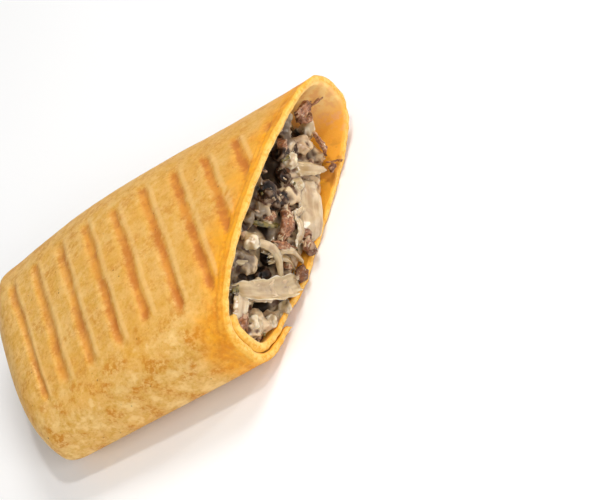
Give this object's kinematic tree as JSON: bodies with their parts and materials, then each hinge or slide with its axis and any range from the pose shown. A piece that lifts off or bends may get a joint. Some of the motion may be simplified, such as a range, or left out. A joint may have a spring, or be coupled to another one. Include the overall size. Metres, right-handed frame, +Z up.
{
  "type": "grilled beef wrap half",
  "caption": "Half of a toasted wrap cut on the slant: a groove-marked tortilla rolled round a creamy beef and onion filling that shows at the open cut.",
  "frame": {"origin": "middle of the underside of the box round the wrap, on the surface that it lies on", "axes": "+X along the roll from its folded end to the tip of the slanted cut, +Y across it from the short side to the long side, +Z up through the broad sides"},
  "size_m": [0.1182, 0.076, 0.0321],
  "materials": {
    "tortilla": "toasted wheat tortilla, matt, golden with brown grill grooves",
    "filling": "moist beef, onion and cabbage in a glossy cream sauce",
    "beef": "moist cooked beef, grey brown"
  },
  "bodies": {
    "root": {"tortilla": "tortilla", "filling": "filling", "beef_scrap": "beef"}
  },
  "joints": []
}
